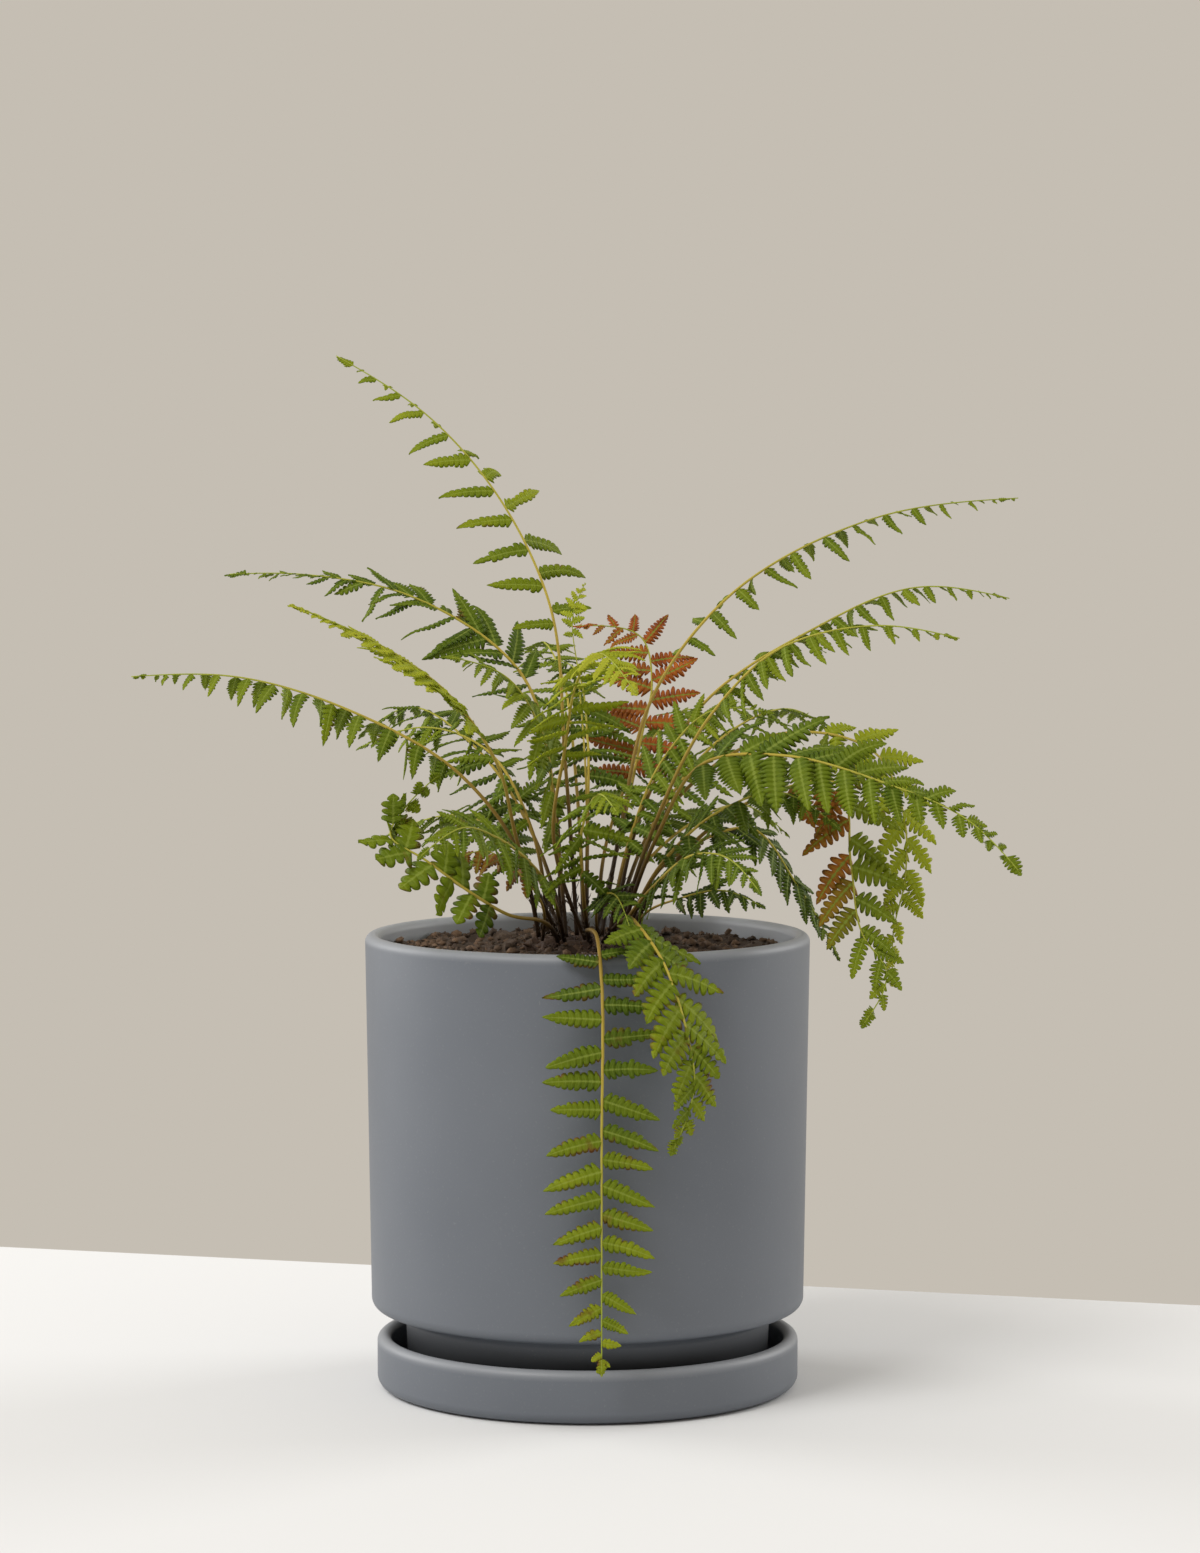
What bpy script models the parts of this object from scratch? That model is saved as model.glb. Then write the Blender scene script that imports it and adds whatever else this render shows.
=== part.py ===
"""Potted fern: a cylinder pot on its saucer, potting soil, the fern's crown and its fronds.

Metres, +Z up. The origin is the centre of the saucer's flat underside, the front is -Y.
Sizes at the top are in millimetres and are turned into metres by MM.
"""
import math

import bmesh
import bpy
import numpy as np

MM = 0.001
GAP = 0.3               # air between pieces that rest on each other
STEPS = 48              # segments round the pot and the saucer

# saucer
SAUCER_R = 95.0
SAUCER_H = 24.0
SAUCER_WALL = 6.5
SAUCER_FLOOR = 6.0

# pot
RIM_R = 100.0           # outer radius at the rim
BODY_R = 97.5           # outer radius where the straight wall ends
POT_TOP = 205.0
POT_WALL = 7.0
TURN_UNDER_Z = 41.0     # where the wall starts to turn in towards the foot
TURN_UNDER_R = 5.0      # radius of the rounded corner there
FOOT_R = 81.0
FOOT_WALL = 8.0
POT_FLOOR = 9.0         # thickness of the floor
DRAIN_R = 6.0

# soil and crown
SOIL_TOP = 197.5
CROWN_TOP = 203.0
CROWN_R = 31.0
CROWN_DEPTH = 18.0      # how far the crown sits down in the soil

# fronds
STALK_R = 1.3           # half the thickness of a stalk at its base
STALK_TAPER = 0.6       # part of that thickness lost by the tip
NOTCH = 0.35            # width between two leaflets, as a part of a leaflet's length
STALK_STATIONS = 6      # sections along the bare stalk

GREEN = (0.09, 0.15, 0.025)
DARK_GREEN = (0.045, 0.085, 0.02)
LIME = (0.27, 0.35, 0.05)
RUST = (0.28, 0.08, 0.025)
BROWN = (0.12, 0.06, 0.03)

# name, radius of the ring that the stalk grows from, points of the stalk's route after its base,
# bare part of the length, leaflet pairs, leaflet length, roll and droop in degrees, colour
FRONDS = [
    ("frond_tall_left", 6,
     [(-10, 10, 280), (-18, 20, 355), (-40, 30, 400), (-70, 40, 435), (-115, 50, 465)],
     0.44, 14, 30, 45, 18, GREEN),
    ("frond_dark_left", 14,
     [(-15, 10, 265), (-30, 30, 320), (-80, 40, 355), (-130, 50, 365), (-165, 60, 365)],
     0.38, 17, 30, 25, 25, DARK_GREEN),
    ("frond_lime_left", 18,
     [(-30, -30, 245), (-40, -50, 285), (-60, -65, 315), (-85, -85, 335), (-125, -110, 355)],
     0.48, 15, 26, 25, 12, LIME),
    ("frond_long_left", 22,
     [(-35, -10, 250), (-55, -10, 275), (-105, -10, 305), (-155, -5, 320), (-205, 5, 320)],
     0.36, 16, 24, 10, 50, DARK_GREEN),
    ("frond_curled_left", 25,
     [(-20, -50, 215), (-35, -70, 220), (-50, -80, 230), (-70, -85, 245), (-85, -80, 255),
      (-80, -70, 265), (-65, -65, 280)],
     0.40, 9, 19, 70, 20, DARK_GREEN),
    ("frond_trailing_front", 25,
     [(0, -60, 212), (4, -88, 212), (6, -112, 195), (6, -114, 125), (6, -114, 70), (6, -110, 25)],
     0.38, 14, 29, 0, 4, GREEN),
    ("frond_trailing_right", 25,
     [(15, -50, 215), (22, -92, 217), (34, -120, 200), (42, -130, 175), (45, -130, 155),
      (36, -126, 125)],
     0.46, 8, 25, 15, 6, LIME),
    ("frond_right_upper", 8,
     [(15, 20, 250), (30, 35, 310), (65, 50, 355), (130, 60, 390), (200, 75, 400)],
     0.42, 16, 24, -25, 35, GREEN),
    ("frond_right_second", 12,
     [(25, 10, 260), (50, 10, 305), (100, 15, 340), (150, 15, 360), (190, 10, 355)],
     0.44, 14, 24, -25, 40, GREEN),
    ("frond_right_third", 16,
     [(30, -15, 255), (55, -30, 305), (85, -50, 335), (125, -65, 345), (160, -80, 340)],
     0.46, 13, 24, -25, 45, GREEN),
    ("frond_rust_back", 10,
     [(15, 40, 245), (25, 60, 290), (30, 75, 315), (25, 90, 335), (-5, 100, 340)],
     0.42, 12, 26, 10, 10, RUST),
    ("frond_broad_right", 21,
     [(30, -40, 250), (50, -65, 285), (85, -90, 290), (125, -110, 280), (160, -125, 265),
      (180, -140, 245)],
     0.36, 18, 32, -55, 15, GREEN),
    ("frond_right_hanging", 19,
     [(45, -20, 245), (80, -35, 270), (110, -50, 275), (115, -60, 240), (120, -65, 210),
      (130, -65, 195), (120, -60, 170)],
     0.40, 13, 27, -65, 10, GREEN),
    ("frond_right_lime", 15,
     [(40, 0, 265), (90, 0, 295), (130, -20, 285), (140, -30, 260), (140, -35, 230), (135, -40, 210),
      (135, -40, 185)],
     0.50, 11, 22, -55, 15, LIME),
    ("frond_dark_right", 23,
     [(30, 5, 230), (50, 10, 245), (75, 20, 250), (95, 20, 225), (115, 25, 190)],
     0.40, 11, 24, -35, 20, DARK_GREEN),
    ("frond_lime_front", 14,
     [(-15, -30, 250), (-10, -50, 290), (-5, -80, 320), (5, -120, 335), (20, -160, 320)],
     0.48, 13, 27, -20, 10, LIME),
    ("frond_left_mid", 21,
     [(-25, 10, 250), (-45, 25, 285), (-75, 45, 295), (-105, 60, 285)],
     0.40, 12, 24, 35, 25, GREEN),
    ("frond_back_left", 18,
     [(-25, 50, 245), (-55, 95, 285), (-85, 130, 300), (-110, 155, 285)],
     0.38, 14, 27, 0, 20, DARK_GREEN),
    ("frond_back_centre_left", 13,
     [(-5, 70, 265), (-12, 125, 315), (-22, 170, 330), (-28, 205, 318)],
     0.38, 14, 27, 0, 20, GREEN),
    ("frond_back_centre_right", 15,
     [(10, 65, 245), (30, 110, 285), (50, 150, 298), (65, 185, 280)],
     0.38, 14, 27, 0, 20, GREEN),
    ("frond_back_right", 18,
     [(30, 45, 250), (65, 80, 290), (95, 115, 300), (120, 150, 285)],
     0.38, 14, 27, 0, 20, GREEN),
    ("frond_right_mid", 20,
     [(34, -30, 240), (60, -44, 264), (84, -56, 272), (108, -64, 258)],
     0.36, 12, 24, -40, 20, DARK_GREEN),
    ("frond_front_left_low", 23,
     [(-20, -55, 235), (-40, -85, 255), (-55, -110, 260), (-70, -125, 250)],
     0.34, 11, 23, 45, 20, GREEN),
    ("frond_front_right_low", 24,
     [(28, -58, 230), (46, -84, 247), (60, -104, 247), (72, -120, 235)],
     0.34, 11, 23, -40, 20, DARK_GREEN),
    ("frond_front_centre", 20,
     [(-2, -55, 230), (-2, -90, 260), (4, -115, 275), (12, -145, 270)],
     0.36, 12, 24, -20, 20, GREEN),
    ("frond_inner_back", 9,
     [(0, 20, 255), (0, 45, 290), (-5, 65, 320), (-20, 90, 325)],
     0.40, 13, 26, 10, 20, DARK_GREEN),
    ("frond_inner_right", 10,
     [(20, 0, 250), (35, -5, 285), (55, -10, 305), (80, -10, 305)],
     0.40, 12, 25, -45, 20, GREEN),
    ("frond_inner_left", 11,
     [(-15, -5, 260), (-20, -15, 295), (-35, -20, 320), (-60, -30, 330)],
     0.42, 12, 26, 40, 20, GREEN),
    ("frond_left_low_back", 22,
     [(-25, 40, 230), (-50, 70, 250), (-70, 100, 250), (-95, 120, 240)],
     0.36, 12, 24, 20, 20, GREEN),
    ("frond_right_low_back", 22,
     [(25, 45, 230), (50, 70, 250), (75, 100, 255), (95, 120, 240)],
     0.36, 12, 24, -25, 20, GREEN),
    ("frond_withered_left", 27,
     [(-20, -30, 220), (-30, -40, 235), (-45, -40, 245), (-60, -45, 240)],
     0.45, 6, 14, 30, 15, BROWN),
    ("frond_low_right", 27,
     [(24, -24, 214), (42, -36, 224), (60, -46, 228), (76, -54, 222)],
     0.40, 7, 15, -30, 15, DARK_GREEN),
    ("frond_low_front", 30,
     [(4, -44, 219), (8, -62, 228), (13, -80, 228), (18, -96, 217)],
     0.40, 7, 15, -20, 15, DARK_GREEN),
    ("frond_young", 2,
     [(-1, 6, 280), (-4, 8, 320), (-6, 8, 350), (-1, 6, 362)],
     0.84, 5, 7, 30, 0, GREEN),
]


def material(name, color, roughness, metallic=0.0):
    mat = bpy.data.materials.new(name)
    mat.use_nodes = True
    shader = mat.node_tree.nodes["Principled BSDF"]
    shader.inputs["Base Color"].default_value = (*color, 1.0)
    shader.inputs["Roughness"].default_value = roughness
    shader.inputs["Metallic"].default_value = metallic
    return mat


def arc(centre, radius, start, end, count):
    """Points on a circle in the X, Z plane, from one angle to another, in degrees."""
    turn = np.radians(np.linspace(start, end, count))
    return [(centre[0] + radius * math.cos(a), centre[1] + radius * math.sin(a)) for a in turn]


def turned(name, profile, mat, steps=STEPS):
    """A closed X, Z outline in millimetres, screwed round the Z axis."""
    mesh = bpy.data.meshes.new(name)
    points = [(x * MM, 0.0, z * MM) for x, z in profile]
    closed = profile[0][0] > 0
    edges = [(i, i + 1) for i in range(len(points) - 1)]
    if closed:
        edges.append((len(points) - 1, 0))
    mesh.from_pydata(points, edges, [])
    mesh.materials.append(mat)
    obj = bpy.data.objects.new(name, mesh)
    parts.objects.link(obj)
    screw = obj.modifiers.new("turn", "SCREW")
    screw.steps = steps
    screw.render_steps = steps
    screw.use_merge_vertices = True
    screw.merge_threshold = 0.00001
    screw.use_smooth_shade = True
    return obj


def make_saucer():
    """A round dish: flat underside, rounded lower edge, upright wall with a rounded lip."""
    lip = SAUCER_WALL / 2
    inner = SAUCER_R - SAUCER_WALL
    profile = [(0, SAUCER_FLOOR)]
    profile += arc((inner - 4, SAUCER_FLOOR + 4), 4, 270, 360, 4)
    profile += arc((inner + lip, SAUCER_H - lip), lip, 180, 0, 7)
    profile += arc((SAUCER_R - 5, 5.6), 5, 0, -80, 5)
    profile += [(SAUCER_R - 6, 0), (0, 0)]
    return turned("saucer", profile, material("saucer_glaze", (0.17, 0.18, 0.195), 0.5))


def make_pot():
    """A cylinder with a rounded rim, turned in at the bottom to a narrower foot ring, drained."""
    lip = POT_WALL / 2
    inner_top = RIM_R - POT_WALL
    foot_z = SAUCER_FLOOR + GAP
    floor_under = foot_z + 4.0
    floor_top = floor_under + POT_FLOOR
    profile = arc((RIM_R - lip, POT_TOP - lip), lip, 180, 0, 7)
    profile += arc((BODY_R - TURN_UNDER_R, TURN_UNDER_Z), TURN_UNDER_R, 0, -75, 5)
    profile += [(FOOT_R + 1.5, TURN_UNDER_Z - 8), (FOOT_R, foot_z + 1.5), (FOOT_R - 1.5, foot_z)]
    profile += [(FOOT_R - FOOT_WALL, foot_z), (FOOT_R - FOOT_WALL - 2, floor_under)]
    profile += [(DRAIN_R, floor_under), (DRAIN_R, floor_top)]
    profile += [(FOOT_R - 8, floor_top), (FOOT_R - 7, TURN_UNDER_Z - 5)]
    profile += [(BODY_R - POT_WALL - 4, TURN_UNDER_Z + 5), (BODY_R - POT_WALL, TURN_UNDER_Z + 12)]
    profile += [(inner_top, POT_TOP - 10)]
    return turned("pot", profile, material("pot_glaze", (0.17, 0.18, 0.195), 0.5))


def make_soil():
    """The potting mix: it fills the pot to a little under the rim, with a pocket for the crown."""
    wall = BODY_R - POT_WALL - GAP - 0.2
    floor = SAUCER_FLOOR + GAP + 4.0 + POT_FLOOR + 0.5
    pocket = CROWN_R + GAP
    profile = [(0, SOIL_TOP - CROWN_DEPTH), (pocket - 8, SOIL_TOP - CROWN_DEPTH), (pocket, SOIL_TOP - 9)]
    profile += [(pocket, SOIL_TOP + 1.5), (pocket + 9, SOIL_TOP + 0.5), (60, SOIL_TOP - 1.5), (75, SOIL_TOP)]
    profile += [(wall + 1.6, SOIL_TOP), (wall, TURN_UNDER_Z + 12.3), (wall - 4, TURN_UNDER_Z + 5.5)]
    profile += [(FOOT_R - 7.6, TURN_UNDER_Z - 4.5), (FOOT_R - 8.8, floor), (0, floor)]
    return turned("soil", profile, material("soil", (0.07, 0.045, 0.03), 0.95), steps=48)


def make_crown():
    """The crown: the short upright stem that every stalk grows out of, its top just above the soil."""
    bottom = SOIL_TOP - CROWN_DEPTH + GAP
    profile = [(0, CROWN_TOP), (CROWN_R - 0.8, CROWN_TOP), (CROWN_R, CROWN_TOP - 2.5)]
    profile += [(CROWN_R, SOIL_TOP - 8), (CROWN_R - 8.5, bottom), (0, bottom)]
    return turned("crown", profile, material("crown_scales", BROWN, 0.9), steps=36)


def curve_through(points, fraction):
    """A smooth curve through the points, read at fractions of its length.

    Each stretch between two points is a cubic whose end slopes are the mean of the slopes on
    both sides, weighted by how near they are.
    """
    p = np.array(points, float)
    step = np.linalg.norm(np.diff(p, axis=0), axis=1)
    knot = np.concatenate([[0.0], np.cumsum(step)])
    chord = np.diff(p, axis=0) / step[:, None]
    slope = np.empty_like(p)
    slope[1:-1] = chord[:-1] * step[1:, None] + chord[1:] * step[:-1, None]
    slope[1:-1] /= (step[:-1] + step[1:])[:, None]
    slope[0] = 1.5 * chord[0] - 0.5 * slope[1]
    slope[-1] = 1.5 * chord[-1] - 0.5 * slope[-2]

    def at(t):
        x = t * knot[-1]
        i = np.clip(np.searchsorted(knot, x, side="right") - 1, 0, len(step) - 1)
        h = ((x - knot[i]) / step[i])[:, None]
        span = step[i][:, None]
        start = (1 + 2 * h) * (1 - h) ** 2 * p[i] + h * (1 - h) ** 2 * span * slope[i]
        return start + h * h * (3 - 2 * h) * p[i + 1] + h * h * (h - 1) * span * slope[i + 1]

    fine = np.linspace(0.0, 1.0, 401)
    length = np.concatenate([[0.0], np.cumsum(np.linalg.norm(np.diff(at(fine), axis=0), axis=1))])
    return at(np.interp(np.asarray(fraction) * length[-1], length, fine))


def unit(vectors):
    return vectors / np.linalg.norm(vectors, axis=1)[:, None]


def frond_frame(ring, route, roll, fraction):
    """Centres, cross directions and face directions along a frond.

    The base stands on the crown, on the ring, in the direction that the frond leans. The cross
    direction is level and square to the lean, made square to the stalk, then rolled about it.
    """
    lean = np.array(route[min(2, len(route) - 1)][:2], float)
    lean /= np.linalg.norm(lean)
    base = (ring * lean[0], ring * lean[1], CROWN_TOP + GAP)
    points = [base, *route]
    centre = curve_through(points, fraction)
    ahead = curve_through(points, np.minimum(fraction + 0.001, 1.0))
    behind = curve_through(points, np.maximum(fraction - 0.001, 0.0))
    along = unit(ahead - behind)
    reach = np.array(route[-1][:2], float) - base[:2]
    reach /= np.linalg.norm(reach)
    level = np.array([reach[1], -reach[0], 0.0])
    across = unit(level - (along @ level)[:, None] * along)
    face = np.cross(across, along)
    turn = math.radians(roll)
    across, face = (across * math.cos(turn) + face * math.sin(turn),
                    face * math.cos(turn) - across * math.sin(turn))
    across[0, 2] = 0.0
    across[0] /= np.linalg.norm(across[0])
    face[0] = np.cross(across[0], (0.0, 0.0, 1.0))
    return centre, across, face


def blade_outline(fraction):
    """Width of the blade along its length: it widens fast, then narrows to a point."""
    return np.clip(1.25 * np.minimum(1.0, 0.55 + 2.2 * fraction) * (1.0 - fraction ** 2.2), 0.06, 1.0)


def make_frond(name, ring, route, bare, pairs, length, roll, droop, color):
    """One frond: a thin stalk that becomes the midrib of a blade with leaflets on both sides.

    The solid is a loft of four-point sections: left edge, underside, right edge, upper side.
    Two sections for each pair of leaflets give the blade its toothed outline.
    """
    stalk = np.linspace(0.0, bare, STALK_STATIONS + 1)[:-1]
    blade = np.linspace(bare, 1.0, 2 * pairs + 1)
    fraction = np.concatenate([stalk, blade])
    centre, across, face = frond_frame(ring, route, roll, fraction)
    thick = STALK_R * (1.0 - STALK_TAPER * fraction)
    width = np.zeros(len(fraction))
    tooth = np.where(np.arange(2 * pairs + 1) % 2 == 1, 1.0, NOTCH)
    width[STALK_STATIONS:] = length * tooth * blade_outline((blade - bare) / (1.0 - bare))
    leafy = width > thick
    drop = np.where(leafy, width * math.sin(math.radians(droop)), 0.0)
    side = np.where(leafy, width * math.cos(math.radians(droop)), thick)[:, None] * across
    down = drop[:, None] * np.array([0.0, 0.0, -1.0])
    lift = face * thick[:, None]
    section = np.stack([centre - side + down, centre - lift, centre + side + down, centre + lift], 1)
    corners = section.reshape(-1, 3) * MM

    faces = [(0, 1, 2, 3)]
    for first in range(0, len(corners) - 4, 4):
        for k in range(4):
            a = first + k
            b = first + (k + 1) % 4
            faces.append((a, a + 4, b + 4, b))
    last = len(corners) - 4
    faces.append((last + 3, last + 2, last + 1, last))

    mesh = bpy.data.meshes.new(name)
    mesh.from_pydata(corners.tolist(), [], faces)
    work = bmesh.new()
    work.from_mesh(mesh)
    bmesh.ops.triangulate(work, faces=work.faces)
    work.to_mesh(mesh)
    work.free()
    mesh.materials.append(material(name + "_leaf", color, 0.55))
    obj = bpy.data.objects.new(name, mesh)
    parts.objects.link(obj)
    return obj


for old in list(bpy.data.objects):
    bpy.data.objects.remove(old)

parts = bpy.data.collections.new("potted_fern")
bpy.context.scene.collection.children.link(parts)

make_saucer()
make_pot()
make_soil()
make_crown()
for row in FRONDS:
    make_frond(*row)
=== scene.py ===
"""Potted fern: a matt grey cylinder pot on its saucer, potting mix, the crown and its fronds."""
import math

import bmesh
import bpy
import numpy as np
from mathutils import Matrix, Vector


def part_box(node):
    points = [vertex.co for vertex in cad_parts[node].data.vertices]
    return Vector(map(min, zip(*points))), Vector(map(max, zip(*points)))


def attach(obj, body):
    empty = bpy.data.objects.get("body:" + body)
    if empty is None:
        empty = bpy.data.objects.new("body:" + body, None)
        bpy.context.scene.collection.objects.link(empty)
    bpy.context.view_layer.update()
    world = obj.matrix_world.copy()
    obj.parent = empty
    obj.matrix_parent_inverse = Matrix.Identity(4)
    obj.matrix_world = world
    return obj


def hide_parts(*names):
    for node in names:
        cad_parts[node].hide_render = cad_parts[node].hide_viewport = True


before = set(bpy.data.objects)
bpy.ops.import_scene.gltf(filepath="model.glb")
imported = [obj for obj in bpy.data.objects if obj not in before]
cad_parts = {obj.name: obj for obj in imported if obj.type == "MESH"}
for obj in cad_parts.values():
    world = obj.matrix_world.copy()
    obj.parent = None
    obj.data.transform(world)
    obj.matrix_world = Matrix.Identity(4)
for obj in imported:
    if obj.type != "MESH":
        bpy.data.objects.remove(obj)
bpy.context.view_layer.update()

MM = 0.001

# ---------------------------------------------------------------------------------------------
# Saucer
# A shallow round dish of cast stoneware with a soft matt grey glaze. It is slip-cast, so every
# edge is rounded, and it is glazed all over except for the flat ring that it is fired on.


def add_mesh(name, points, faces, attributes=None, uv=None, weld=False):
    """Makes one object at the origin from an array of points and an array of four-point faces."""
    mesh = bpy.data.meshes.new(name)
    mesh.from_pydata(points.reshape(-1, 3), [], faces.reshape(-1, 4))
    for key, values in (attributes or {}).items():
        layer = mesh.attributes.new(key, "FLOAT", "POINT")
        layer.data.foreach_set("value", np.ascontiguousarray(values, np.float32).ravel())
    if uv is not None:
        corner = np.empty(len(mesh.loops), np.int32)
        mesh.loops.foreach_get("vertex_index", corner)
        layer = mesh.uv_layers.new(name="veins")
        layer.data.foreach_set("uv", uv.reshape(-1, 2)[corner].astype(np.float32).ravel())
    if weld:
        work = bmesh.new()
        work.from_mesh(mesh)
        bmesh.ops.remove_doubles(work, verts=work.verts, dist=1e-7)
        work.to_mesh(mesh)
        work.free()
    mesh.shade_smooth()
    obj = bpy.data.objects.new(name, mesh)
    bpy.context.scene.collection.objects.link(obj)
    return obj


def arc(x, z, radius, start, end, count):
    """Points on a circle about (x, z), from one angle to another, in degrees."""
    turn = np.radians(np.linspace(start, end, count))
    return [(x + radius * math.cos(a), z + radius * math.sin(a)) for a in turn]


def round_faces(steps, count, ring=False):
    """Faces of a grid of points whose rows go round Z; a ring's columns close on themselves too."""
    row = np.arange(steps)[:, None]
    column = np.arange(count if ring else count - 1)
    next_row = (row + 1) % steps
    next_column = (column + 1) % count
    return np.stack([row * count + column, row * count + next_column,
                     next_row * count + next_column, next_row * count + column], -1)


def turned(name, profile, steps=192):
    """A surface of turning: each profile point (x, z) goes round Z, x cos a, x sin a, z.

    A profile that starts and ends on the axis gives a closed form with two poles; any other is
    closed on itself, as a ring is.
    """
    outline = np.array(profile) * MM
    angle = np.linspace(0.0, 2 * math.pi, steps, endpoint=False)
    x = np.cos(angle)[:, None] * outline[None, :, 0]
    y = np.sin(angle)[:, None] * outline[None, :, 0]
    z = np.broadcast_to(outline[None, :, 1], x.shape)
    poles = outline[0, 0] == 0
    faces = round_faces(steps, len(outline), ring=not poles)
    return add_mesh(name, np.stack([x, y, z], -1), faces, weld=poles)


class Value:
    """A shader socket that takes Python's operators: each one adds a Math node."""

    def __init__(self, finish, socket):
        self.finish = finish
        self.socket = socket

    def math(self, operation, *terms):
        sockets = {i: term for i, term in enumerate(terms)}
        return self.finish.add("ShaderNodeMath", {"operation": operation}, sockets)

    def __add__(self, other):
        return self.math("ADD", self, other)

    def __mul__(self, other):
        return self.math("MULTIPLY", self, other)

    def __sub__(self, other):
        return self.math("SUBTRACT", self, other)

    def __rsub__(self, other):
        return self.math("SUBTRACT", other, self)

    def __pow__(self, other):
        return self.math("POWER", self, other)

    def __abs__(self):
        return self.math("ABSOLUTE", self)

    __radd__ = __add__
    __rmul__ = __mul__

    def clamp(self):
        return self.math("MAXIMUM", self.math("MINIMUM", self, 1.0), 0.0)

    def rise(self, start, end):
        """0 below start, 1 above end, a straight rise between them; start may be above end."""
        return ((self - start) * (1.0 / (end - start))).clamp()


class Finish:
    """A material in the making: add() gives any node, and surface() closes it."""

    def __init__(self, name):
        self.material = bpy.data.materials.new(name)
        self.material.use_nodes = True
        self.tree = self.material.node_tree
        self.tree.nodes.clear()

    def add(self, kind, settings=None, sockets=None, out=0):
        """A node of that kind: its settings first, then the values or links of its sockets."""
        node = self.tree.nodes.new(kind)
        for key, value in (settings or {}).items():
            if key == "stops":
                elements = node.color_ramp.elements
                elements.remove(elements[1])
                elements[0].position = value[0][0]
                elements[0].color = (*value[0][1], 1.0)
                for place, color in value[1:]:
                    elements.new(place).color = (*color, 1.0)
            else:
                setattr(node, key, value)
        for key, value in (sockets or {}).items():
            if isinstance(value, Value):
                self.tree.links.new(value.socket, node.inputs[key])
            else:
                node.inputs[key].default_value = value
        return Value(self, node.outputs[out]) if len(node.outputs) else None

    def attribute(self, name):
        return self.add("ShaderNodeAttribute", {"attribute_name": name}, out="Fac")

    def place(self):
        return self.add("ShaderNodeTexCoord", out="Object")

    def coordinate(self, axis, vector=None):
        """One coordinate, X, Y or Z, of the place on the piece or of another vector."""
        return self.add("ShaderNodeSeparateXYZ", {}, {0: vector or self.place()}, out=axis)

    def noise(self, scale, detail=3.0, rough=0.5):
        sockets = {"Vector": self.place(), "Scale": scale, "Detail": detail, "Roughness": rough}
        return self.add("ShaderNodeTexNoise", {}, sockets, out="Fac")

    def mix(self, factor, first, second, blend="MIX"):
        """Two colours mixed by a factor; sockets 6 and 7 are the Mix node's colour inputs."""
        fixed = [(*c, 1.0) if isinstance(c, tuple) else c for c in (first, second)]
        settings = {"data_type": "RGBA", "blend_type": blend}
        return self.add("ShaderNodeMix", settings, {0: factor, 6: fixed[0], 7: fixed[1]}, out=2)

    def ramp(self, factor, stops):
        return self.add("ShaderNodeValToRGB", {"stops": stops}, {"Fac": factor})

    def surface(self, color, roughness, bump, distance, strength, more=None, glow=None):
        """Principled shader; glow mixes in light that passes through, as in a leaf."""
        sockets = {"Base Color": color, "Roughness": roughness, **(more or {})}
        height = {"Height": bump, "Distance": distance, "Strength": strength}
        sockets["Normal"] = self.add("ShaderNodeBump", {}, height)
        shader = self.add("ShaderNodeBsdfPrincipled", {}, sockets)
        if glow is not None:
            through = self.add("ShaderNodeBsdfTranslucent", {}, {"Color": (*glow[1], 1.0)})
            shader = self.add("ShaderNodeMixShader", {}, {0: glow[0], 1: shader, 2: through})
        self.add("ShaderNodeOutputMaterial", {}, {"Surface": shader})
        return self.material


def matt_glaze(name, rim_z):
    """Grey matt glaze: clouds and specks, a painted highlight on the rim, painted shade in the gap.

    The painted shade in the gap between foot and saucer and the painted highlight on the inside of
    the rim each have a radius and a height where they begin and where they are full.
    """
    top_highlight_band = 4.5
    gap_r, gap_z = (91 * MM, 84 * MM), (35 * MM, 22 * MM)
    inner_highlight_r, inner_highlight_z = (97 * MM, 95.5 * MM), (188 * MM, 195 * MM)
    finish = Finish(name)
    clouds = finish.noise(14.0, 2.0)
    specks = finish.noise(900.0, 2.0, 0.6)
    color = finish.mix(clouds.rise(0.3, 0.7), (0.114, 0.128, 0.152), (0.126, 0.140, 0.164))
    color = finish.mix(specks.rise(0.62, 0.75) * 0.25, color, (0.24, 0.245, 0.25))
    height = finish.coordinate("Z")
    # Painted highlight: the band round the rim's top is made paler, where light catches it.
    thin = (1.0 - abs(height - rim_z) * (1.0 / (top_highlight_band * MM))).clamp()
    color = finish.mix(thin * 0.75, color, (0.30, 0.315, 0.34))
    x = finish.coordinate("X")
    y = finish.coordinate("Y")
    radius = (x * x + y * y) ** 0.5
    # Painted shade: the foot and the saucer round it go near black, where shade falls in the gap.
    gap_shade = radius.rise(*gap_r) * height.rise(*gap_z)
    color = finish.mix(gap_shade * 0.9, color, (0.012, 0.013, 0.015))
    # Painted highlight: a pale band just inside the pot's rim, where light falls on the inner lip.
    inside = radius.rise(*inner_highlight_r) * height.rise(*inner_highlight_z)
    color = finish.mix(inside * 0.8, color, (0.34, 0.355, 0.385))
    roughness = 0.46 + finish.noise(60.0) * 0.08
    relief = specks * 0.5 + finish.noise(120.0, 4.0) * 0.5
    return finish.surface(color, roughness, relief, 0.00006, 0.35)


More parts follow.
